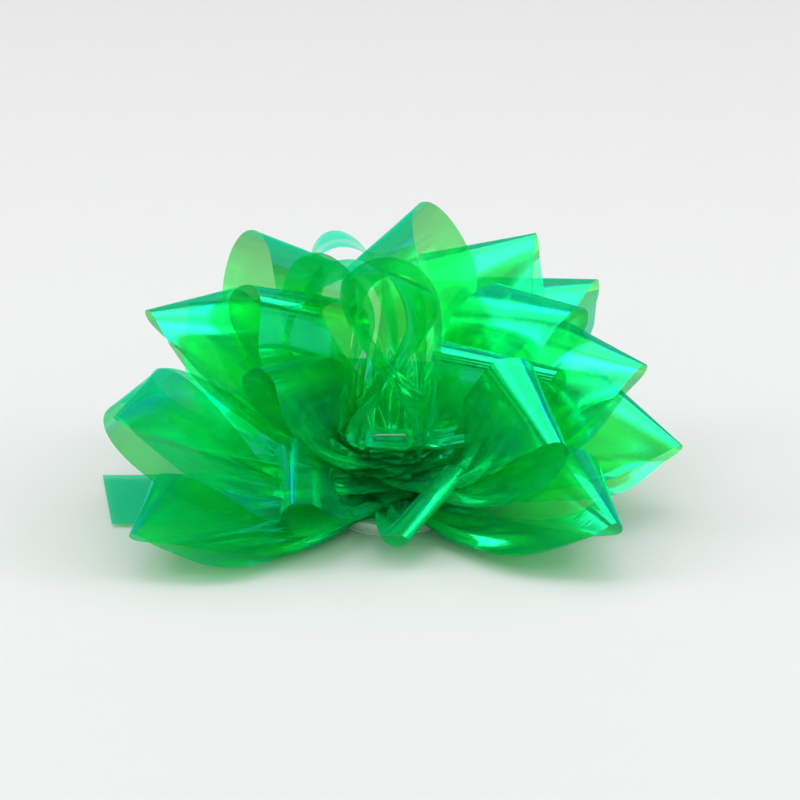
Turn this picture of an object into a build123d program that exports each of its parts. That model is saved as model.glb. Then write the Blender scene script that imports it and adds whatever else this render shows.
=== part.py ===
"""Pre-made peel-and-stick gift bow: film loops clamped by one staple on a round card base.

Millimetres, +Z up. The origin is at the bottom centre, on the surface that the bow stands on,
and the staple stands on the Z axis. Each loop is a flat length of ribbon bent over a cone
without stretching, and pinched flat where the staple holds it.
"""
import os
from math import cos, hypot, radians, sin

import numpy as np
from build123d import *

# Ribbon
RIBBON_WIDTH = 31.0
FILM_THICKNESS = 0.25
TAB_WIDTH = 13.0            # pinched width under the staple
TAB_OVERHANG = 6.0          # how far each pinched end runs past the staple
TAB_FLAT = 5.0              # flat length of a tab before it turns up
TAB_TURN = 12.0             # length over which it turns up
PINCH_LENGTH = 46.0         # length over which the ribbon opens from the tab to its full width
PINCH_SHARE = 0.75          # most of a short loop's half length that this may take
LAYER_PITCH = 0.33          # one clamped film layer and its air gap

# Base
CARD_DIAMETER = 28.0
CARD_THICKNESS = 1.2
PAD_DIAMETER = 26.0
PAD_THICKNESS = 1.4
LINER_THICKNESS = 0.25
LINER_OVERHANG = 1.0        # how far the liner shows past the pad all round
LINER_TAB_WIDTH = 9.0
LINER_TAB_LENGTH = 5.0

# Staple
STAPLE_WIRE = 0.7
STAPLE_SPAN = 8.0           # between the centres of its legs
STAPLE_CLEARANCE = 0.15     # round each leg, in every hole
STAPLE_HOOK = 3.0           # length of each leg turned in under the card

# Loose tail of the ribbon
TAIL_LENGTH = 76.0          # on its longer edge, from the staple
TAIL_CUT_RUN = 14.0         # how much shorter its near edge is than its far edge
TAIL_DROOP = 2.2            # how far its free end sinks below the clamped end
TAIL_SHIFT = 6.5            # how far its centre line lies behind the staple

# Heights worked out from the stack
CARD_BOTTOM = LINER_THICKNESS + PAD_THICKNESS
CARD_TOP = CARD_BOTTOM + CARD_THICKNESS

# Sections through the film
STATIONS = 45
TAIL_STATIONS = 15
BEND_CROWDING = 0.3         # share of even spacing; the rest crowds the stations at the bend

# Colours (red, green, blue, opacity)
FILM_GREEN = (0.1, 0.75, 0.4, 0.6)
PAPER_WHITE = (0.95, 0.95, 0.93, 1.0)
FOAM_WHITE = (0.9, 0.9, 0.88, 1.0)
CARD_WHITE = (0.93, 0.92, 0.89, 1.0)
STEEL = (0.7, 0.7, 0.72, 1.0)

# The loops in the order in which they are clamped, lowest first. Each has the azimuth, rise and
# roll of its axis in degrees, then in mm its reach, the swell of its teardrop, the distance from
# its axis to the point of its cone, the height of its cone's root and the sideways offset of the
# ribbon on the cone, and last the ribbon's skew in degrees.
LOOPS = {
    "base_front_left": (174, 18, -2, 62, 11, 52, -6, -25, 11),
    "base_front_right": (4, 26, -174, 57, 22, 52, -5, -18, -1),
    "base_front_middle": (327, 14, -168, 22, 4, 95, 9, -12, 0),
    "base_front": (188, 24, -8, 32, 11, 95, 7, -14, 0),
    "base_back_left": (98, 18, -2, 62, 11, 52, -6, -25, 11),
    "base_back_right": (72, 26, -174, 57, 20, 52, -5, -18, -1),
    "base_left": (160, 22, -178, 74, 11, 52, -1, 14, 0),
    "base_back": (112, 24, -168, 62, 11, 52, -4, -22, 6),
    "base_right": (34, 22, -156, 60, 11, 52, 13, -25, 8),
    "lower_left": (166, 30, 2, 68, 11, 52, 4, -24, 18),
    "lower_right": (33, 44, -176, 63, 11, 52, 4, -24, 6),
    "lower_front_right": (352, 51, -153, 58, 11, 52, -4, -8, 19),
    "lower_back_right": (84, 34, -170, 62, 11, 52, 4, -24, 6),
    "lower_back_left": (100, 32, 2, 66, 11, 52, 4, -24, 14),
    "upper_left": (135, 38, 8, 62, 11, 52, 12, -22, 4),
    "upper_right": (44, 44, 172, 60, 12, 52, 9, -9, 6),
    "upper_far_right": (76, 17, 173, 65, 11, 52, 22, -22, 11),
    "upper_back_right": (94, 31, 164, 65, 11, 52, 14, -24, 5),
    "upper_back_left": (97, 40, -143, 60, 11, 52, 9, 32, 4),
    "upper_front": (134, 58, 18, 37, 14, 85, 10, -22, 0),
    "upper_front_left": (88, 60, 42, 44, 22, 90, 10, -26, 0),
    "crown_rear_left": (118, 56, -126, 54, 11, 52, 12, 20, 6),
    "crown_rear_right": (104, 34, -56, 61, 11, 52, 13, 24, -1),
    "crown_back": (123, 58, 60, 54, 12, 52, 23, 24, -13),
    "crown_left": (138, 74, -128, 58, 23, 52, 8, 19, 12),
    "crown_right": (58, 56, -174, 36, 20, 60, 12, -14, 2),
    "crown_front": (83, 62, -88, 46, 13, 52, 16, 26, 0),
}


def directions(azimuth, rise, roll):
    """The loop's own axes: outwards, along the bend towards the cone's point, and the third one."""
    azimuth, rise, roll = radians(azimuth), radians(rise), radians(roll)
    outward = np.array([cos(rise) * cos(azimuth), cos(rise) * sin(azimuth), sin(rise)])
    level = np.array([-sin(azimuth), cos(azimuth), 0.0])
    along = cos(roll) * level + sin(roll) * np.cross(outward, level)
    return outward, along, np.cross(outward, along)


class Cone:
    """A cone over a teardrop through the root, unrolled by the arc length of its directions."""

    def __init__(self, azimuth, rise, roll, reach, belly, distance, root_height, offset, skew):
        outward, along, across = directions(azimuth, rise, roll)
        self.point = np.array([0.0, 0.0, root_height]) + reach * outward + distance * along
        turn = np.linspace(0.0, 2.0 * np.pi, 361)
        out = -reach * (1.0 + np.cos(turn)) / 2.0
        side = belly * np.sin(turn) * np.sin(turn / 2.0) ** 2
        rays = out[:, None] * outward - distance * along + side[:, None] * across
        self.rays = rays / np.linalg.norm(rays, axis=1)[:, None]
        steps = 2.0 * np.arcsin(np.linalg.norm(np.diff(self.rays, axis=0), axis=1) / 2.0)
        self.angle = np.concatenate([[0.0], np.cumsum(steps)])
        self.spread = self.angle[-1]
        radius = hypot(reach, distance)
        self.axis_distance = radius * cos(self.spread / 2.0)
        self.half_length = radius * sin(self.spread / 2.0)
        self.offset, self.skew = offset, radians(skew)

    def ray(self, angle):
        """Direction at an unrolled angle; past the teardrop's ends it runs on along a great circle."""
        if 0.0 <= angle <= self.spread:
            found = np.array([np.interp(angle, self.angle, self.rays[:, k]) for k in range(3)])
            return found / np.linalg.norm(found)
        end, inner, past = (0, 1, -angle) if angle < 0.0 else (-1, -2, angle - self.spread)
        tangent = self.rays[end] - self.rays[inner]
        tangent -= tangent.dot(self.rays[end]) * self.rays[end]
        return cos(past) * self.rays[end] + sin(past) * tangent / np.linalg.norm(tangent)

    def lean(self, along):
        """How far the cone's straight line through the ribbon's middle shifts along it, per mm across."""
        x = along * cos(self.skew)
        y = along * sin(self.skew) + self.offset + self.axis_distance
        return (x * cos(self.skew) + y * sin(self.skew)) / (y * cos(self.skew) - x * sin(self.skew))

    def at(self, along, across):
        """Place on the cone of a point of the flat ribbon, measured from the middle of the bend."""
        x = along * cos(self.skew) - across * sin(self.skew)
        y = along * sin(self.skew) + across * cos(self.skew) + self.offset + self.axis_distance
        return self.point + hypot(x, y) * self.ray(np.arctan2(x, y) + self.spread / 2.0)


def smooth(value):
    """Ease from 0 to 1."""
    value = min(max(value, 0.0), 1.0)
    return value * value * (3.0 - 2.0 * value)


def rising_path(distance, slope):
    """Run and rise of a leg that leaves the staple level, then turns up to its slope on an arc."""
    if distance <= TAB_FLAT or abs(slope) < 1e-6:
        return distance, 0.0
    radius = TAB_TURN / slope
    turned = min((distance - TAB_FLAT) / TAB_TURN, 1.0) * slope
    straight = max(distance - TAB_FLAT - TAB_TURN, 0.0)
    run = TAB_FLAT + radius * sin(turned) + straight * cos(slope)
    return run, radius * (1.0 - cos(turned)) + straight * sin(slope)


class Loop:
    """One loop of ribbon: on its cone out at the bend, on a pinched level tab at the staple."""

    def __init__(self, form, level):
        self.cone = Cone(*form)
        self.level = level
        self.flat_from = self.cone.half_length - TAB_FLAT
        self.pinch = min(PINCH_LENGTH, PINCH_SHARE * self.cone.half_length)
        opened = self.cone.half_length - self.pinch
        legs = [self.cone.at(opened, 0.0), self.cone.at(-opened, 0.0)]
        middle = (legs[0] + legs[1]) / 2.0 - np.array([0.0, 0.0, level])
        run = hypot(middle[0], middle[1])
        self.heading = middle[:2] / run
        self.slope = np.arctan2(middle[2], run)
        self.upper = 1.0 if legs[0][2] >= legs[1][2] else -1.0
        edges = [self.cone.at(opened, side * RIBBON_WIDTH / 2.0) for side in (1.0, -1.0)]
        span = edges[0] - edges[1]
        self.side = 1.0 if self.heading[0] * span[1] >= self.heading[1] * span[0] else -1.0

    def point(self, along, across):
        """A point of the film from its place on the flat ribbon."""
        from_staple = self.cone.half_length - abs(along)
        run, rise = rising_path(from_staple, self.slope)
        sideways = across * TAB_WIDTH / RIBBON_WIDTH
        tab = np.array([
            run * self.heading[0] - sideways * self.heading[1],
            run * self.heading[1] + sideways * self.heading[0],
            self.level + rise + self.upper * np.sign(along) * LAYER_PITCH / 2.0,
        ])
        share = smooth((from_staple - TAB_FLAT) / (self.pinch - TAB_FLAT))
        return share * self.cone.at(along, across * self.side) + (1.0 - share) * tab

    def section(self, along):
        """Both edges of the film where a straight line of its cone crosses it, square at the tabs."""
        lean = self.cone.lean(along) * self.side * max(1.0 - (along / self.flat_from) ** 2, 0.0)
        half = RIBBON_WIDTH / 2.0
        return self.point(along - lean * half, -half), self.point(along + lean * half, half)

    def solid(self):
        """The loop as a thin solid, lofted through sections that crowd together at the bend."""
        end = self.cone.half_length + TAB_OVERHANG
        steps = np.linspace(-1.0, 1.0, STATIONS)
        stations = self.flat_from * (BEND_CROWDING * steps + (1.0 - BEND_CROWDING) * steps**3)
        return film([self.section(along) for along in (-end, *stations, end)])


def film(sections):
    """A thin solid through pairs of edge points, half its thickness to each side of them."""
    pairs = np.array(sections)
    middles = pairs.mean(axis=1)
    normals = np.cross(np.gradient(middles, axis=0), pairs[:, 1] - pairs[:, 0])
    normals *= FILM_THICKNESS / 2.0 / np.linalg.norm(normals, axis=1)[:, None]
    wires = []
    for (left, right), normal in zip(pairs, normals):
        corners = [left - normal, right - normal, right + normal, left + normal]
        wires.append(Wire.make_polygon([Vector(*corner) for corner in corners], close=True))
    return Solid.make_loft(wires, ruled=True)


def pierced(part, top):
    """The part with a clearance hole for each leg of the staple."""
    for x in (-STAPLE_SPAN / 2.0, STAPLE_SPAN / 2.0):
        hole = Cylinder(STAPLE_WIRE / 2.0 + STAPLE_CLEARANCE, top,
                        align=(Align.CENTER, Align.CENTER, Align.MIN))
        part = part - Pos(x, 0.0, 0.0) * hole
    return part


def disc(diameter, thickness, bottom):
    """A flat round piece on the axis."""
    shape = Cylinder(diameter / 2.0, thickness, align=(Align.CENTER, Align.CENTER, Align.MIN))
    return Pos(0.0, 0.0, bottom) * shape


def release_liner():
    """Round liner with a small pull tab at its edge."""
    radius = PAD_DIAMETER / 2.0 + LINER_OVERHANG
    tab = Box(LINER_TAB_LENGTH * 2.0, LINER_TAB_WIDTH, LINER_THICKNESS,
              align=(Align.CENTER, Align.CENTER, Align.MIN))
    liner = disc(radius * 2.0, LINER_THICKNESS, 0.0) + Pos(radius, 0.0, 0.0) * tab
    corners = liner.edges().filter_by(Axis.Z).sort_by(Axis.X)[-2:]
    return fillet(corners, LINER_TAB_WIDTH / 3.0)


def adhesive_pad():
    """Foam pad with a slot that takes the turned-in ends of the staple."""
    pad = disc(PAD_DIAMETER, PAD_THICKNESS, LINER_THICKNESS)
    slot = Box(STAPLE_SPAN + 2.0 * STAPLE_WIRE, 2.0 * STAPLE_WIRE, STAPLE_WIRE + STAPLE_CLEARANCE,
               align=(Align.CENTER, Align.CENTER, Align.MAX))
    return pad - Pos(0.0, 0.0, CARD_BOTTOM) * slot


def staple(stack_top):
    """Bent wire: a crown on the topmost layer, and two legs turned in under the card."""
    low = CARD_BOTTOM - STAPLE_WIRE / 2.0
    high = stack_top + STAPLE_WIRE / 2.0
    half = STAPLE_SPAN / 2.0
    path = FilletPolyline(
        (-half + STAPLE_HOOK, 0.0, low), (-half, 0.0, low), (-half, 0.0, high),
        (half, 0.0, high), (half, 0.0, low), (half - STAPLE_HOOK, 0.0, low),
        radius=STAPLE_WIRE,
    )
    section = Plane(origin=path @ 0, z_dir=path % 0) * Circle(STAPLE_WIRE / 2.0)
    return sweep(section, path=path)


def ribbon_tail(level):
    """The loose start of the ribbon: pinched under the staple, then full width and drooping."""
    sections = []
    for step in np.linspace(0.0, 1.0, TAIL_STATIONS):
        edges = []
        for across in (-0.5, 0.5):
            length = TAIL_LENGTH + (across - 0.5) * TAIL_CUT_RUN
            distance = -TAB_OVERHANG + step * (length + TAB_OVERHANG)
            share = smooth(distance / PINCH_LENGTH)
            width = TAB_WIDTH + (RIBBON_WIDTH - TAB_WIDTH) * share
            droop = TAIL_DROOP * smooth(distance / TAIL_LENGTH)
            edges.append(np.array([-distance, across * width + TAIL_SHIFT * share, level - droop]))
        sections.append(edges)
    return film(sections)


def write(name, part, colour):
    """One STEP file for one piece."""
    part.label = name
    part.color = Color(*colour)
    export_step(part, f"parts/{name}.step")


def main():
    os.makedirs("parts", exist_ok=True)
    hole_top = CARD_TOP + (2 * len(LOOPS) + 6) * LAYER_PITCH
    write("release_liner", release_liner(), PAPER_WHITE)
    write("adhesive_pad", adhesive_pad(), FOAM_WHITE)
    write("card_disc", pierced(disc(CARD_DIAMETER, CARD_THICKNESS, CARD_BOTTOM), hole_top), CARD_WHITE)
    level = CARD_TOP + LAYER_PITCH
    write("ribbon_tail", pierced(ribbon_tail(level), hole_top), FILM_GREEN)
    level += 1.5 * LAYER_PITCH
    for name, form in LOOPS.items():
        write(name, pierced(Loop(form, level).solid(), hole_top), FILM_GREEN)
        level += 2.0 * LAYER_PITCH
    write("staple", staple(level), STEEL)


if __name__ == "__main__":
    main()
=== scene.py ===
"""Looks of the gift bow: clear iridescent ribbon loops over a stapled card base."""

from math import cos, hypot, pi, radians, sin

import bpy
import numpy as np
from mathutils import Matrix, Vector


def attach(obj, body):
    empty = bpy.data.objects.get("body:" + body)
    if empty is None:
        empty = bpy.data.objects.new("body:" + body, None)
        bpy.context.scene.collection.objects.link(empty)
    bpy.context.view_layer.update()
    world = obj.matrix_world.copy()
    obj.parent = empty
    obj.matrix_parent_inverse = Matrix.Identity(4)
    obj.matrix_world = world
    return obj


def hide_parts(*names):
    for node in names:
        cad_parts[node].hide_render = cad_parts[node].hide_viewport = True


bl_info = {
    "name": "Gift Bow",
    "version": (1, 0, 0),
    "blender": (4, 5, 0),
    "location": "3D View > Sidebar > Gift Bow",
    "description": "Builds a pre-made gift bow of pinched ribbon loops, with its base and a stage",
    "category": "Object",
}

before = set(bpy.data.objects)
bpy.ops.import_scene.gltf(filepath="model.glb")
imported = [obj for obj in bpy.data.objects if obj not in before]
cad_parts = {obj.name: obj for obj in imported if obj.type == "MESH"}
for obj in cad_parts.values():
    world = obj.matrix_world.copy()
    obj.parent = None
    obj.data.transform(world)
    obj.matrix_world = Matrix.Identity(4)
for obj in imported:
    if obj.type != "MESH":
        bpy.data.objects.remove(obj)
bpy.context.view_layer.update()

MM = 0.001
UV_TILE = 0.1           # metres of flat ribbon to one unit of its UV map
LOOP_STATIONS = 110     # lines across the film of a loop
LOOP_LANES = 24         # faces across it
TAIL_STATIONS = 40
TAIL_LANES = 10
TAIL_SEED_STEP = 50     # from the loops' wave seeds to the tail's
CONE_STEPS = 721        # directions that a cone is worked out from
EVEN_SPACING = 0.45     # share of even spacing; the rest crowds the lines at the bend

# Clamped order, lowest first: azimuth, rise and roll of a loop's axis in degrees, its reach, the
# swell of its teardrop, the distance to its cone's point, its cone's root height and the ribbon's
# offset in mm, and the ribbon's skew in degrees.
LOOPS = {
    "base_front_left": (174, 18, -2, 62, 11, 52, -6, -25, 11),
    "base_front_right": (4, 26, -174, 57, 22, 52, -5, -18, -1),
    "base_front_middle": (327, 14, -168, 22, 4, 95, 9, -12, 0),
    "base_front": (188, 24, -8, 32, 11, 95, 7, -14, 0),
    "base_back_left": (98, 18, -2, 62, 11, 52, -6, -25, 11),
    "base_back_right": (72, 26, -174, 57, 20, 52, -5, -18, -1),
    "base_left": (160, 22, -178, 74, 11, 52, -1, 14, 0),
    "base_back": (112, 24, -168, 62, 11, 52, -4, -22, 6),
    "base_right": (34, 22, -156, 60, 11, 52, 13, -25, 8),
    "lower_left": (166, 30, 2, 68, 11, 52, 4, -24, 18),
    "lower_right": (33, 44, -176, 63, 11, 52, 4, -24, 6),
    "lower_front_right": (352, 51, -153, 58, 11, 52, -4, -8, 19),
    "lower_back_right": (84, 34, -170, 62, 11, 52, 4, -24, 6),
    "lower_back_left": (100, 32, 2, 66, 11, 52, 4, -24, 14),
    "upper_left": (135, 38, 8, 62, 11, 52, 12, -22, 4),
    "upper_right": (44, 44, 172, 60, 12, 52, 9, -9, 6),
    "upper_far_right": (76, 17, 173, 65, 11, 52, 22, -22, 11),
    "upper_back_right": (94, 31, 164, 65, 11, 52, 14, -24, 5),
    "upper_back_left": (97, 40, -143, 60, 11, 52, 9, 32, 4),
    "upper_front": (134, 58, 18, 37, 14, 85, 10, -22, 0),
    "upper_front_left": (88, 60, 42, 44, 22, 90, 10, -26, 0),
    "crown_rear_left": (118, 56, -126, 54, 11, 52, 12, 20, 6),
    "crown_rear_right": (104, 34, -56, 61, 11, 52, 13, 24, -1),
    "crown_back": (123, 58, 60, 54, 12, 52, 23, 24, -13),
    "crown_left": (138, 74, -128, 58, 23, 52, 8, 19, 12),
    "crown_right": (58, 56, -174, 36, 20, 60, 12, -14, 2),
    "crown_front": (83, 62, -88, 46, 13, 52, 16, 26, 0),
}


class RibbonSettings(bpy.types.PropertyGroup):
    """Sizes of the ribbon, in millimetres."""

    width: bpy.props.FloatProperty(name="Width", description="Width of the ribbon", default=31.0)
    tab_width: bpy.props.FloatProperty(
        name="Tab width", description="Pinched width under the staple", default=13.0)
    tab_overhang: bpy.props.FloatProperty(
        name="Tab overhang", description="How far a pinched end runs past the staple", default=6.0)
    tab_flat: bpy.props.FloatProperty(
        name="Tab flat", description="Flat length of a tab before it turns up", default=5.0)
    tab_turn: bpy.props.FloatProperty(
        name="Tab turn", description="Length over which a tab turns up", default=12.0)
    pinch_length: bpy.props.FloatProperty(
        name="Pinch length", description="Length over which the ribbon opens out", default=46.0)
    pinch_share: bpy.props.FloatProperty(
        name="Pinch share", description="Most of a loop's half length that opens out", default=0.75)
    pleats: bpy.props.IntProperty(name="Pleats", description="Pleats across a pinch", default=3)
    pleat_height: bpy.props.FloatProperty(
        name="Pleat height", description="How far a pleat stands from the film's mean surface",
        default=1.3)
    layer_pitch: bpy.props.FloatProperty(
        name="Layer pitch", description="One clamped layer and its air gap", default=0.33)
    first_level: bpy.props.FloatProperty(
        name="First level", description="Height of the lowest clamped layer", default=3.18)
    tail_length: bpy.props.FloatProperty(
        name="Tail length", description="Longer edge of the loose tail", default=76.0)
    tail_cut_run: bpy.props.FloatProperty(
        name="Tail cut run", description="How much shorter its near edge is", default=5.0)
    tail_droop: bpy.props.FloatProperty(
        name="Tail droop", description="How far its free end sinks", default=2.2)
    tail_shift: bpy.props.FloatProperty(
        name="Tail shift", description="How far its centre line lies behind the staple", default=6.5)
    ripple: bpy.props.FloatProperty(
        name="Ripple", description="Height of the slight waves in the film", default=0.35)
    ripple_pitch: bpy.props.FloatProperty(
        name="Ripple pitch", description="Distance from one wave to the next", default=22.0)
    ripple_hold: bpy.props.FloatProperty(
        name="Ripple hold", description="Reach from the staple inside which there are no waves",
        default=22.0)
    seed: bpy.props.IntProperty(name="Seed", description="Seed of the waves", default=7)


class FilmSettings(bpy.types.PropertyGroup):
    """Colours of the iridescent film."""

    face_tint: bpy.props.FloatVectorProperty(
        name="Face tint", description="Light let through where the film faces the eye",
        subtype="COLOR", size=4, default=(0.38, 0.90, 0.38, 1.0))
    slant_tint: bpy.props.FloatVectorProperty(
        name="Slant tint", description="Light let through where the film slants away",
        subtype="COLOR", size=4, default=(0.24, 0.86, 0.60, 1.0))
    rim_tint: bpy.props.FloatVectorProperty(
        name="Rim tint", description="Light let through at a fold's rim",
        subtype="COLOR", size=4, default=(0.55, 0.90, 0.78, 1.0))
    blue_sheen: bpy.props.FloatVectorProperty(
        name="Blue sheen", description="Thin blue band between the green and the teal",
        subtype="COLOR", size=4, default=(0.01, 0.60, 0.90, 1.0))
    body_colour: bpy.props.FloatVectorProperty(
        name="Body colour", description="Light that the film scatters",
        subtype="COLOR", size=4, default=(0.01, 0.92, 0.36, 1.0))
    face_sheen: bpy.props.FloatVectorProperty(
        name="Face sheen", description="Reflection where the film faces the eye",
        subtype="COLOR", size=4, default=(0.02, 0.98, 0.46, 1.0))
    slant_sheen: bpy.props.FloatVectorProperty(
        name="Slant sheen", description="Reflection where the film slants away",
        subtype="COLOR", size=4, default=(0.02, 0.96, 0.62, 1.0))
    rim_sheen: bpy.props.FloatVectorProperty(
        name="Rim sheen", description="Reflection at a fold's rim",
        subtype="COLOR", size=4, default=(0.72, 0.95, 0.86, 1.0))


class StageSettings(bpy.types.PropertyGroup):
    """Camera, floor and lights."""

    distance: bpy.props.FloatProperty(
        name="Distance", description="Camera to the middle of the view", default=0.780,
        subtype="DISTANCE")
    elevation: bpy.props.FloatProperty(
        name="Elevation", description="Camera's angle above the floor, in degrees", default=24.5)
    lens: bpy.props.FloatProperty(
        name="Lens", description="Focal length on a 36 mm sensor, in millimetres", default=136.0476)
    shift_right: bpy.props.FloatProperty(
        name="Shift right", description="Lens shift sideways, in frame widths", default=0.0125)
    shift_up: bpy.props.FloatProperty(
        name="Shift up", description="Lens shift upwards, in frame widths", default=0.14125)
    floor_colour: bpy.props.FloatVectorProperty(
        name="Floor", description="Colour of the floor", subtype="COLOR", size=4,
        default=(0.62, 0.622, 0.628, 1.0))
    key_power: bpy.props.FloatProperty(
        name="Key", description="Power of the soft box overhead", default=6.0)
    backdrop_power: bpy.props.FloatProperty(
        name="Backdrop", description="Power of the light on the backdrop", default=5.0)
    side_power: bpy.props.FloatProperty(
        name="Sides", description="Power of each side soft box", default=4.2)


def smooth(value):
    """Ease from 0 to 1."""
    value = np.clip(value, 0.0, 1.0)
    return value * value * (3.0 - 2.0 * value)


def directions(azimuth, rise, roll):
    """A loop's own axes: outwards, along the bend towards the cone's point, and the third one."""
    azimuth, rise, roll = radians(azimuth), radians(rise), radians(roll)
    outward = np.array([cos(rise) * cos(azimuth), cos(rise) * sin(azimuth), sin(rise)])
    level = np.array([-sin(azimuth), cos(azimuth), 0.0])
    along = cos(roll) * level + sin(roll) * np.cross(outward, level)
    return outward, along, np.cross(outward, along)


class Cone:
    """A cone over a teardrop through the root, unrolled by the arc length of its directions."""

    def __init__(self, azimuth, rise, roll, reach, belly, distance, root_height, offset, skew):
        outward, along, across = directions(azimuth, rise, roll)
        self.point = np.array([0.0, 0.0, root_height]) + reach * outward + distance * along
        turn = np.linspace(0.0, 2.0 * pi, CONE_STEPS)
        out = -reach * (1.0 + np.cos(turn)) / 2.0
        side = belly * np.sin(turn) * np.sin(turn / 2.0) ** 2
        rays = out[:, None] * outward - distance * along + side[:, None] * across
        self.rays = rays / np.linalg.norm(rays, axis=1)[:, None]
        steps = 2.0 * np.arcsin(np.linalg.norm(np.diff(self.rays, axis=0), axis=1) / 2.0)
        self.angle = np.concatenate([[0.0], np.cumsum(steps)])
        self.spread = self.angle[-1]
        radius = hypot(reach, distance)
        self.axis_distance = radius * cos(self.spread / 2.0)
        self.half_length = radius * sin(self.spread / 2.0)
        self.offset, self.skew = offset, radians(skew)

    def ray(self, angle):
        """Direction at an unrolled angle; past the ends it runs on along a great circle."""
        if 0.0 <= angle <= self.spread:
            found = np.array([np.interp(angle, self.angle, self.rays[:, k]) for k in range(3)])
            return found / np.linalg.norm(found)
        end, inner, past = (0, 1, -angle) if angle < 0.0 else (-1, -2, angle - self.spread)
        tangent = self.rays[end] - self.rays[inner]
        tangent -= tangent.dot(self.rays[end]) * self.rays[end]
        return cos(past) * self.rays[end] + sin(past) * tangent / np.linalg.norm(tangent)

    def lean(self, along):
        """Shift along the ribbon of the cone's straight line, per millimetre across."""
        x = along * cos(self.skew)
        y = along * sin(self.skew) + self.offset + self.axis_distance
        return (x * cos(self.skew) + y * sin(self.skew)) / (y * cos(self.skew) - x * sin(self.skew))

    def at(self, along, across):
        """Place on the cone of a point of the flat ribbon, measured from the middle of the bend."""
        x = along * cos(self.skew) - across * sin(self.skew)
        y = along * sin(self.skew) + across * cos(self.skew) + self.offset + self.axis_distance
        return self.point + hypot(x, y) * self.ray(np.arctan2(x, y) + self.spread / 2.0)


class Loop:
    """One loop of ribbon: on its cone out at the bend, on a pinched level tab at the staple."""

    def __init__(self, ribbon, form, level):
        self.ribbon = ribbon
        self.cone = Cone(*form)
        self.level = level
        self.flat_from = self.cone.half_length - ribbon.tab_flat
        self.pinch = min(ribbon.pinch_length, ribbon.pinch_share * self.cone.half_length)
        opened = self.cone.half_length - self.pinch
        legs = [self.cone.at(opened, 0.0), self.cone.at(-opened, 0.0)]
        middle = (legs[0] + legs[1]) / 2.0 - np.array([0.0, 0.0, level])
        run = hypot(middle[0], middle[1])
        self.heading = middle[:2] / run
        self.slope = np.arctan2(middle[2], run)
        self.upper = 1.0 if legs[0][2] >= legs[1][2] else -1.0
        half = ribbon.width / 2.0
        span = self.cone.at(opened, half) - self.cone.at(opened, -half)
        self.side = 1.0 if self.heading[0] * span[1] >= self.heading[1] * span[0] else -1.0

    def rising_path(self, distance):
        """Run and rise of a leg that leaves the staple level, then turns up on an arc."""
        flat, turn = self.ribbon.tab_flat, self.ribbon.tab_turn
        if distance <= flat:
            return distance, 0.0
        radius = turn / self.slope
        turned = min((distance - flat) / turn, 1.0) * self.slope
        straight = max(distance - flat - turn, 0.0)
        run = flat + radius * sin(turned) + straight * cos(self.slope)
        return run, radius * (1.0 - cos(turned)) + straight * sin(self.slope)

    def point(self, along, across):
        """A point of the film from its place on the flat ribbon."""
        ribbon = self.ribbon
        from_staple = self.cone.half_length - abs(along)
        run, rise = self.rising_path(from_staple)
        sideways = across * ribbon.tab_width / ribbon.width
        tab = np.array([
            run * self.heading[0] - sideways * self.heading[1],
            run * self.heading[1] + sideways * self.heading[0],
            self.level + rise + self.upper * np.sign(along) * ribbon.layer_pitch / 2.0,
        ])
        share = smooth((from_staple - ribbon.tab_flat) / (self.pinch - ribbon.tab_flat))
        return share * self.cone.at(along, across * self.side) + (1.0 - share) * tab

    def grid(self, stations, lanes):
        """Points of the film on straight lines across it, crowded at the bend."""
        end = self.cone.half_length + self.ribbon.tab_overhang
        steps = np.linspace(-1.0, 1.0, stations)
        inner = self.flat_from * (EVEN_SPACING * steps + (1.0 - EVEN_SPACING) * steps ** 3)
        half = self.ribbon.width / 2.0
        points, places = [], []
        for along in (-end, *inner, end):
            kept = max(1.0 - (along / self.flat_from) ** 2, 0.0)
            lean = self.cone.lean(along) * self.side * kept
            first = self.point(along - lean * half, -half)
            last = self.point(along + lean * half, half)
            for lane in range(lanes + 1):
                share = lane / lanes
                points.append(first + (last - first) * share)
                across = (2.0 * share - 1.0) * half
                places.append((along + lean * across, across))
        return self.pleated(np.array(points), lanes), np.array(places), stations + 2

    def pleated(self, points, lanes):
        """Stand the width that the pinch takes up in soft pleats, which lie flat at the staple."""
        ribbon = self.ribbon
        rows = points.reshape(-1, lanes + 1, 3)
        along = np.gradient((rows[:, 0] + rows[:, -1]) / 2.0, axis=0)
        across = rows[:, -1] - rows[:, 0]
        upward = np.cross(along, across)
        upward /= np.linalg.norm(upward, axis=1)[:, None]
        upward *= np.where(upward[:, 2] < 0.0, -1.0, 1.0)[:, None]
        run = np.linalg.norm(np.diff((rows[:, 0] + rows[:, -1]) / 2.0, axis=0), axis=1)
        placed = np.concatenate([[0.0], np.cumsum(run)])
        from_end = np.minimum(placed, placed[-1] - placed) - ribbon.tab_overhang
        reach = self.pinch - ribbon.tab_flat
        rise = smooth((from_end - ribbon.tab_flat) / (0.25 * reach))
        fall = 1.0 - smooth((from_end - 0.35 * self.pinch) / (0.6 * reach))
        height = ribbon.pleat_height * rise * fall
        wave = np.cos(2.0 * pi * ribbon.pleats * np.linspace(0.0, 1.0, lanes + 1))
        rows = rows + height[:, None, None] * wave[None, :, None] * upward[:, None, :]
        return rows.reshape(-1, 3)


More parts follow.
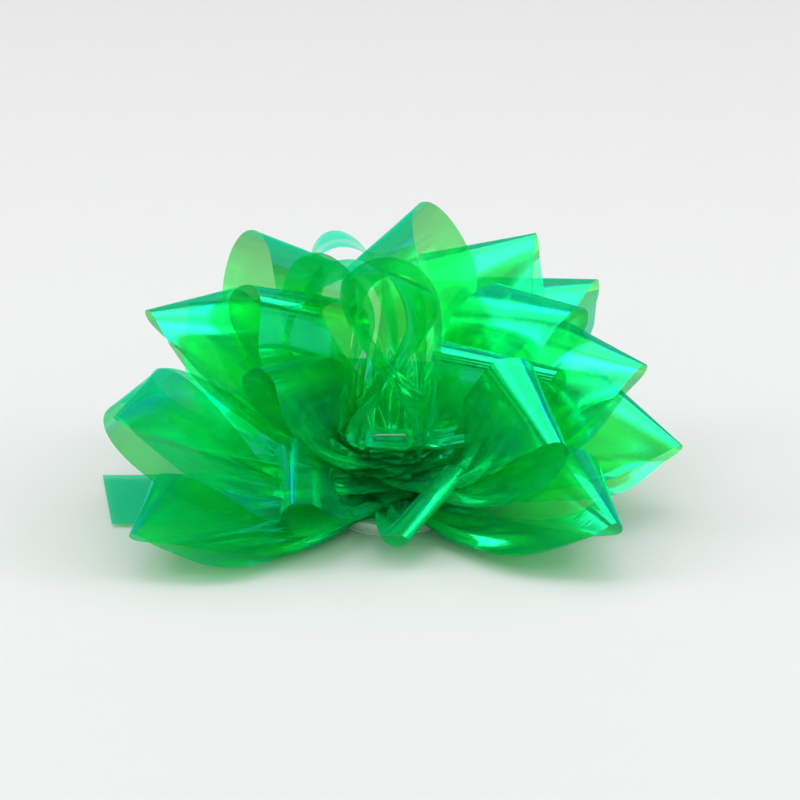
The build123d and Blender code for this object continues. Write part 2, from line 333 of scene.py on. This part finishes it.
def film_mesh(name, points, places, rows, lanes):
    """A grid mesh in metres, whose UV map is the place on the flat ribbon in tenths of a metre."""
    mesh = bpy.data.meshes.new(name)
    faces = []
    for row in range(rows - 1):
        for lane in range(lanes):
            a = row * (lanes + 1) + lane
            faces.append((a, a + lanes + 1, a + lanes + 2, a + 1))
    mesh.from_pydata([tuple(p * MM) for p in points], [], faces)
    layer = mesh.uv_layers.new(name="Ribbon")
    for loop in mesh.loops:
        layer.data[loop.index].uv = tuple(places[loop.vertex_index] * MM / UV_TILE)
    mesh.shade_smooth()
    piece = bpy.data.objects.new(name, mesh)
    bpy.context.scene.collection.objects.link(piece)
    return piece


def ripple_tree(material):
    """Geometry Nodes that put slight waves in a film and give it its material."""
    tree = bpy.data.node_groups.new("Film ripple", "GeometryNodeTree")
    face = tree.interface
    face.new_socket("Geometry", in_out="INPUT", socket_type="NodeSocketGeometry")
    sizes = {}
    for name, default in (("Wave height", 0.0003), ("Wave pitch", 0.02), ("Hold near staple", 0.02)):
        socket = face.new_socket(name, in_out="INPUT", socket_type="NodeSocketFloat")
        socket.default_value = default
        sizes[name] = socket.identifier
    seed = face.new_socket("Seed", in_out="INPUT", socket_type="NodeSocketInt")
    sizes["Seed"] = seed.identifier
    face.new_socket("Geometry", in_out="OUTPUT", socket_type="NodeSocketGeometry")
    nodes, links = tree.nodes, tree.links
    start, end = nodes.new("NodeGroupInput"), nodes.new("NodeGroupOutput")
    place = nodes.new("GeometryNodeInputPosition")
    normal = nodes.new("GeometryNodeInputNormal")
    reach = nodes.new("ShaderNodeVectorMath")
    reach.operation = "LENGTH"
    links.new(place.outputs[0], reach.inputs[0])
    hold = nodes.new("ShaderNodeMapRange")
    hold.interpolation_type = "SMOOTHSTEP"
    links.new(reach.outputs["Value"], hold.inputs["Value"])
    links.new(start.outputs["Hold near staple"], hold.inputs["From Min"])
    double = nodes.new("ShaderNodeMath")
    double.operation = "MULTIPLY"
    double.inputs[1].default_value = 2.0
    links.new(start.outputs["Hold near staple"], double.inputs[0])
    links.new(double.outputs[0], hold.inputs["From Max"])
    pitch = nodes.new("ShaderNodeMath")
    pitch.operation = "DIVIDE"
    pitch.inputs[0].default_value = 1.0
    links.new(start.outputs["Wave pitch"], pitch.inputs[1])
    noise = nodes.new("ShaderNodeTexNoise")
    noise.noise_dimensions = "4D"
    noise.inputs["Detail"].default_value = 1.0
    links.new(place.outputs[0], noise.inputs["Vector"])
    links.new(start.outputs["Seed"], noise.inputs["W"])
    links.new(pitch.outputs[0], noise.inputs["Scale"])
    centre = nodes.new("ShaderNodeMath")
    centre.operation = "SUBTRACT"
    centre.inputs[1].default_value = 0.5
    links.new(noise.outputs[0], centre.inputs[0])
    height = nodes.new("ShaderNodeMath")
    height.operation = "MULTIPLY"
    links.new(centre.outputs[0], height.inputs[0])
    links.new(start.outputs["Wave height"], height.inputs[1])
    held = nodes.new("ShaderNodeMath")
    held.operation = "MULTIPLY"
    links.new(height.outputs[0], held.inputs[0])
    links.new(hold.outputs[0], held.inputs[1])
    shift = nodes.new("ShaderNodeVectorMath")
    shift.operation = "SCALE"
    links.new(normal.outputs[0], shift.inputs[0])
    links.new(held.outputs[0], shift.inputs["Scale"])
    move = nodes.new("GeometryNodeSetPosition")
    links.new(start.outputs["Geometry"], move.inputs["Geometry"])
    links.new(shift.outputs[0], move.inputs["Offset"])
    realise = nodes.new("GeometryNodeRealizeInstances")
    links.new(move.outputs[0], realise.inputs[0])
    paint = nodes.new("GeometryNodeSetMaterial")
    paint.inputs["Material"].default_value = material
    links.new(realise.outputs[0], paint.inputs["Geometry"])
    links.new(paint.outputs[0], end.inputs[0])
    return tree, sizes


def finish_film(piece, tree, sizes, settings, seed):
    """Apply the waves and the material, and leave a plain mesh."""
    waves = piece.modifiers.new("Ripple", "NODES")
    waves.node_group = tree
    waves[sizes["Wave height"]] = settings.ripple * MM
    waves[sizes["Wave pitch"]] = settings.ripple_pitch * MM
    waves[sizes["Hold near staple"]] = settings.ripple_hold * MM
    waves[sizes["Seed"]] = seed
    graph = bpy.context.evaluated_depsgraph_get()
    mesh = bpy.data.meshes.new_from_object(piece.evaluated_get(graph))
    piece.modifiers.clear()
    piece.data = mesh
    mesh.name = piece.name
    mesh.shade_smooth()


class NodeMaker:
    """Short calls for a material's nodes."""

    def __init__(self, name):
        self.material = bpy.data.materials.new(name)
        self.material.use_nodes = True
        self.nodes = self.material.node_tree.nodes
        self.links = self.material.node_tree.links
        self.nodes.clear()
        self.output = self.add("ShaderNodeOutputMaterial")

    def feed(self, socket, value):
        """Link another node's socket to an input, or set a plain value on it."""
        if isinstance(value, bpy.types.NodeSocket):
            self.links.new(value, socket)
        else:
            socket.default_value = value

    def add(self, kind, **values):
        """A node, with its named inputs fed."""
        node = self.nodes.new(kind)
        for key, value in values.items():
            self.feed(node.inputs[key.replace("_", " ")], value)
        return node

    def maths(self, operation, first, second):
        """One sum of two numbers or sockets."""
        node = self.nodes.new("ShaderNodeMath")
        node.operation = operation
        for socket, value in zip(node.inputs, (first, second)):
            self.feed(socket, value)
        return node.outputs[0]

    def ramp(self, factor, stops):
        """A colour ramp over (place, colour) stops."""
        node = self.nodes.new("ShaderNodeValToRGB")
        self.links.new(factor, node.inputs[0])
        ramp = node.color_ramp
        while len(ramp.elements) < len(stops):
            ramp.elements.new(0.5)
        for element, (place, colour) in zip(ramp.elements, stops):
            element.position = place
            element.color = colour
        return node.outputs[0]

    def mix(self, factor, first, second):
        """A mix of two shaders."""
        node = self.nodes.new("ShaderNodeMixShader")
        for socket, value in zip(node.inputs, (factor, first, second)):
            self.feed(socket, value)
        return node.outputs[0]


def film_material(look):
    """Clear green film with an iridescent sheen that turns from green to teal as it slants."""
    maker = NodeMaker("iridescent_film")
    place = maker.add("ShaderNodeUVMap")
    place.uv_map = "Ribbon"
    streaks = maker.add("ShaderNodeMapping", Vector=place.outputs[0], Scale=(0.5, 30.0, 1.0))
    lines = maker.add("ShaderNodeTexNoise", Vector=streaks.outputs[0], Scale=6.0, Detail=4.0,
                      Roughness=0.65)
    cloud = maker.add("ShaderNodeMapping", Vector=place.outputs[0], Scale=(1.2, 3.0, 1.0))
    drift = maker.add("ShaderNodeTexNoise", Vector=cloud.outputs[0], Scale=2.2, Detail=2.0)
    bump = maker.add("ShaderNodeBump", Height=lines.outputs[0], Strength=0.035, Distance=0.001)
    facing = maker.add("ShaderNodeLayerWeight", Blend=0.5).outputs["Facing"]
    drifted = maker.maths("ADD", facing, maker.maths("MULTIPLY", drift.outputs[0], 0.24))
    shifted = maker.maths("SUBTRACT", drifted, 0.12)
    tint = maker.ramp(shifted, [
        (0.0, look.face_tint), (0.35, look.face_tint), (0.75, look.slant_tint),
        (1.0, look.rim_tint)])
    sheen = maker.ramp(shifted, [
        (0.0, look.face_sheen), (0.36, look.face_sheen), (0.46, look.blue_sheen),
        (0.56, look.slant_sheen), (0.86, look.slant_sheen), (1.0, look.rim_sheen)])
    clear = maker.add("ShaderNodeBsdfTransparent", Color=tint)
    gloss = maker.add("ShaderNodeBsdfGlossy", Color=sheen, Roughness=0.10, Normal=bump.outputs[0])
    through = maker.add("ShaderNodeBsdfTranslucent", Color=look.body_colour, Normal=bump.outputs[0])
    back = maker.add("ShaderNodeBsdfDiffuse", Color=look.body_colour, Normal=bump.outputs[0])
    position = maker.add("ShaderNodeTexCoord").outputs["Object"]
    away = maker.add("ShaderNodeVectorMath")
    away.operation = "LENGTH"
    maker.links.new(position, away.inputs[0])
    creased = maker.add("ShaderNodeMapRange", Value=away.outputs["Value"], From_Min=0.010,
                        From_Max=0.042, To_Min=0.75, To_Max=0.20)
    body = maker.mix(creased.outputs[0], clear.outputs[0],
                     maker.mix(0.5, through.outputs[0], back.outputs[0]))
    strength = maker.ramp(facing, [
        (0.0, (0.26, 0.26, 0.26, 1.0)), (0.25, (0.38, 0.38, 0.38, 1.0)),
        (0.7, (0.50, 0.50, 0.50, 1.0)), (1.0, (0.80, 0.80, 0.80, 1.0))])
    whole = maker.mix(strength, body, gloss.outputs[0])
    maker.links.new(whole, maker.output.inputs["Surface"])
    return maker.material


def paper_material(name, colour, grain, depth, roughness):
    """Matt paper, board or foam with a fine uneven grain."""
    maker = NodeMaker(name)
    place = maker.add("ShaderNodeTexCoord")
    noise = maker.add("ShaderNodeTexNoise", Vector=place.outputs["Object"], Scale=grain, Detail=6.0)
    dark = tuple(0.93 * c for c in colour[:3]) + (1.0,)
    tone = maker.ramp(noise.outputs[0], [(0.3, dark), (0.7, colour)])
    bump = maker.add("ShaderNodeBump", Height=noise.outputs[0], Strength=0.3, Distance=depth)
    surface = maker.add("ShaderNodeBsdfPrincipled", Base_Color=tone, Roughness=roughness,
                        Normal=bump.outputs[0])
    maker.links.new(surface.outputs[0], maker.output.inputs["Surface"])
    return maker.material


def wire_material():
    """Drawn steel wire with fine scratches."""
    maker = NodeMaker("staple_wire")
    place = maker.add("ShaderNodeTexCoord")
    scratch = maker.add("ShaderNodeMapping", Vector=place.outputs["Object"], Scale=(1.0, 30.0, 30.0))
    noise = maker.add("ShaderNodeTexNoise", Vector=scratch.outputs[0], Scale=400.0, Detail=3.0)
    tone = maker.ramp(noise.outputs[0], [(0.3, (0.5, 0.5, 0.52, 1.0)), (0.7, (0.72, 0.72, 0.74, 1.0))])
    bump = maker.add("ShaderNodeBump", Height=noise.outputs[0], Strength=0.15, Distance=0.0001)
    surface = maker.add("ShaderNodeBsdfPrincipled", Base_Color=tone, Metallic=1.0, Roughness=0.32,
                        Normal=bump.outputs[0])
    maker.links.new(surface.outputs[0], maker.output.inputs["Surface"])
    return maker.material


def paint_node(name, material):
    """Give a CAD node its finished material."""
    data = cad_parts[name].data
    data.materials.clear()
    data.materials.append(material)


def shared_film():
    """The film's material, made once."""
    material = bpy.data.materials.get("iridescent_film")
    if material is None:
        material = film_material(bpy.context.scene.bow_film)
    return material


class MakeLoops(bpy.types.Operator):
    """Make every loop of ribbon from the form of its cone"""

    bl_idname = "bow.make_loops"
    bl_label = "Ribbon loops"

    def execute(self, context):
        ribbon = context.scene.bow_ribbon
        tree, sizes = ripple_tree(shared_film())
        level = ribbon.first_level + 1.5 * ribbon.layer_pitch
        for count, (name, form) in enumerate(LOOPS.items()):
            loop = Loop(ribbon, form, level)
            points, places, rows = loop.grid(LOOP_STATIONS, LOOP_LANES)
            piece = film_mesh(f"film_{name}", points, places, rows, LOOP_LANES)
            finish_film(piece, tree, sizes, ribbon, ribbon.seed + count)
            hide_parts(name)
            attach(piece, "root")
            level += 2.0 * ribbon.layer_pitch
        return {"FINISHED"}


class MakeTail(bpy.types.Operator):
    """Make the loose start of the ribbon, which runs out under the loops"""

    bl_idname = "bow.make_tail"
    bl_label = "Ribbon tail"

    def execute(self, context):
        ribbon = context.scene.bow_ribbon
        level = ribbon.first_level
        rows, lanes = TAIL_STATIONS, TAIL_LANES
        points, places = [], []
        for row in range(rows):
            for lane in range(lanes + 1):
                across = lane / lanes - 0.5
                length = ribbon.tail_length + (across - 0.5) * ribbon.tail_cut_run
                distance = -ribbon.tab_overhang + row / (rows - 1) * (length + ribbon.tab_overhang)
                share = smooth(distance / ribbon.pinch_length)
                width = ribbon.tab_width + (ribbon.width - ribbon.tab_width) * share
                droop = ribbon.tail_droop * smooth(distance / ribbon.tail_length)
                points.append(np.array([-distance, across * width + ribbon.tail_shift * share,
                                        level - droop]))
                places.append((distance, across * ribbon.width))
        piece = film_mesh("film_ribbon_tail", np.array(points), np.array(places), rows, lanes)
        tree, sizes = ripple_tree(shared_film())
        finish_film(piece, tree, sizes, ribbon, ribbon.seed + TAIL_SEED_STEP)
        length = (ribbon.tail_length + ribbon.tab_overhang) * MM
        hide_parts("ribbon_tail")
        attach(piece, "root")
        return {"FINISHED"}


class DressBase(bpy.types.Operator):
    """Give the card, the adhesive pad and its liner their finishes"""

    bl_idname = "bow.dress_base"
    bl_label = "Card, pad and liner"

    def execute(self, context):
        board = paper_material("white_board", (0.86, 0.85, 0.82, 1.0), 900.0, 0.0002, 0.75)
        foam = paper_material("foam_adhesive", (0.82, 0.82, 0.80, 1.0), 2500.0, 0.0004, 0.6)
        paper = paper_material("silicone_paper", (0.88, 0.88, 0.86, 1.0), 500.0, 0.0001, 0.4)
        for name, material in (("card_disc", board), ("adhesive_pad", foam), ("release_liner", paper)):
            paint_node(name, material)
        return {"FINISHED"}


class DressStaple(bpy.types.Operator):
    """Give the staple its drawn wire finish"""

    bl_idname = "bow.dress_staple"
    bl_label = "Staple"

    def execute(self, context):
        paint_node("staple", wire_material())
        return {"FINISHED"}


def soft_box(name, place, target, size, power, colour=(1.0, 1.0, 1.0)):
    """A rectangular area light aimed at a point."""
    light = bpy.data.lights.new(name, "AREA")
    light.shape = "RECTANGLE"
    light.size, light.size_y = size
    light.energy = power
    light.color = colour
    holder = bpy.data.objects.new(name, light)
    holder.location = place
    holder.rotation_euler = (Vector(target) - Vector(place)).to_track_quat("-Z", "Y").to_euler()
    bpy.context.scene.collection.objects.link(holder)
    return holder


def world_light():
    """Surround of level bright and dark bands, which the curved film mirrors as stripes."""
    world = bpy.data.worlds.new("studio")
    bpy.context.scene.world = world
    world.use_nodes = True
    nodes, links = world.node_tree.nodes, world.node_tree.links
    back = nodes["Background"]
    place = nodes.new("ShaderNodeTexCoord")
    parts = nodes.new("ShaderNodeSeparateXYZ")
    links.new(place.outputs["Generated"], parts.inputs[0])
    ramp = nodes.new("ShaderNodeValToRGB")
    links.new(parts.outputs["Z"], ramp.inputs[0])
    bands = [(0.0, 0.55), (0.10, 0.75), (0.22, 0.06), (0.38, 0.06), (0.46, 2.0), (0.54, 0.10),
             (0.66, 0.10), (0.74, 2.4), (0.84, 0.20), (0.92, 0.20), (1.0, 2.0)]
    stops = ramp.color_ramp.elements
    while len(stops) < len(bands):
        stops.new(0.5)
    for stop, (height, grey) in zip(stops, bands):
        stop.position, stop.color = height, (grey, grey, grey, 1.0)
    links.new(ramp.outputs[0], back.inputs["Color"])
    back.inputs["Strength"].default_value = 1.12


class SetStage(bpy.types.Operator):
    """Set the floor, the backdrop, the soft boxes and the camera"""

    bl_idname = "bow.set_stage"
    bl_label = "Studio stage"

    def execute(self, context):
        stage = context.scene.bow_stage
        sweep = bpy.data.meshes.new("studio_sweep")
        steps = 24
        profile = [(-2.2, 0.0), (1.4, 0.0)]
        profile += [(1.4 + 1.2 * sin(a), 1.2 - 1.2 * cos(a)) for a in
                    (pi / 2.0 * k / steps for k in range(1, steps + 1))]
        profile.append((2.6, 3.4))
        verts = [(x, y, z) for y, z in profile for x in (-4.0, 4.0)]
        faces = [(2 * k, 2 * k + 1, 2 * k + 3, 2 * k + 2) for k in range(len(profile) - 1)]
        sweep.from_pydata(verts, [], faces)
        sweep.shade_smooth()
        floor = bpy.data.objects.new("studio_sweep", sweep)
        context.scene.collection.objects.link(floor)
        maker = NodeMaker("studio_floor")
        place = maker.add("ShaderNodeTexCoord")
        noise = maker.add("ShaderNodeTexNoise", Vector=place.outputs["Object"], Scale=60.0, Detail=4.0)
        pale = tuple(stage.floor_colour)
        dimmer = tuple(c * 0.99 for c in pale[:3]) + (1.0,)
        tone = maker.ramp(noise.outputs[0], [(0.0, dimmer), (1.0, pale)])
        surface = maker.add("ShaderNodeBsdfPrincipled", Base_Color=tone, Roughness=0.6)
        maker.links.new(surface.outputs[0], maker.output.inputs["Surface"])
        sweep.materials.append(maker.material)
        world_light()
        middle = (0.0, 0.0, 0.03)
        soft_box("soft_box_above", (0.0, 0.25, 1.05), middle, (1.3, 0.9), stage.key_power)
        soft_box("soft_box_left", (-0.95, -0.05, 0.55), middle, (0.35, 1.1), stage.side_power)
        soft_box("soft_box_right", (0.95, -0.05, 0.55), middle, (0.35, 1.1), stage.side_power)
        soft_box("backdrop_light", (0.0, 1.0, 1.6), (0.0, 2.5, 1.0), (2.0, 0.5),
                 stage.backdrop_power)
        camera = bpy.data.cameras.new("camera")
        holder = bpy.data.objects.new("camera", camera)
        context.scene.collection.objects.link(holder)
        context.scene.camera = holder
        tilt = radians(stage.elevation)
        camera.sensor_width = 36.0
        camera.lens = stage.lens
        camera.clip_start = 0.01
        camera.shift_x = stage.shift_right
        camera.shift_y = stage.shift_up
        holder.location = (0.0, -stage.distance * cos(tilt), stage.distance * sin(tilt))
        holder.rotation_euler = (pi / 2.0 - tilt, 0.0, 0.0)
        return {"FINISHED"}


class BowPanel(bpy.types.Panel):
    """Gift bow pieces in the 3D view's sidebar"""

    bl_idname = "VIEW3D_PT_gift_bow"
    bl_label = "Gift Bow"
    bl_space_type = "VIEW_3D"
    bl_region_type = "UI"
    bl_category = "Gift Bow"

    def draw(self, context):
        for settings in (context.scene.bow_ribbon, context.scene.bow_film, context.scene.bow_stage):
            column = self.layout.column(align=True)
            for name in settings.__annotations__:
                column.prop(settings, name)
        for operator in (MakeLoops, MakeTail, DressBase, DressStaple, SetStage):
            self.layout.operator(operator.bl_idname)


CLASSES = (
    RibbonSettings, FilmSettings, StageSettings,
    MakeLoops, MakeTail, DressBase, DressStaple, SetStage, BowPanel,
)


def register():
    for item in CLASSES:
        bpy.utils.register_class(item)
    bpy.types.Scene.bow_ribbon = bpy.props.PointerProperty(type=RibbonSettings)
    bpy.types.Scene.bow_film = bpy.props.PointerProperty(type=FilmSettings)
    bpy.types.Scene.bow_stage = bpy.props.PointerProperty(type=StageSettings)


def unregister():
    del bpy.types.Scene.bow_stage
    del bpy.types.Scene.bow_film
    del bpy.types.Scene.bow_ribbon
    for item in reversed(CLASSES):
        bpy.utils.unregister_class(item)


def main():
    register()
    bpy.ops.bow.make_loops()
    bpy.ops.bow.make_tail()
    bpy.ops.bow.dress_base()
    bpy.ops.bow.dress_staple()
    bpy.ops.bow.set_stage()
    context = bpy.context.scene
    context.cycles.transparent_max_bounces = 40
    context.cycles.max_bounces = 8
    context.view_settings.view_transform = "Standard"


if __name__ == "__main__":
    main()
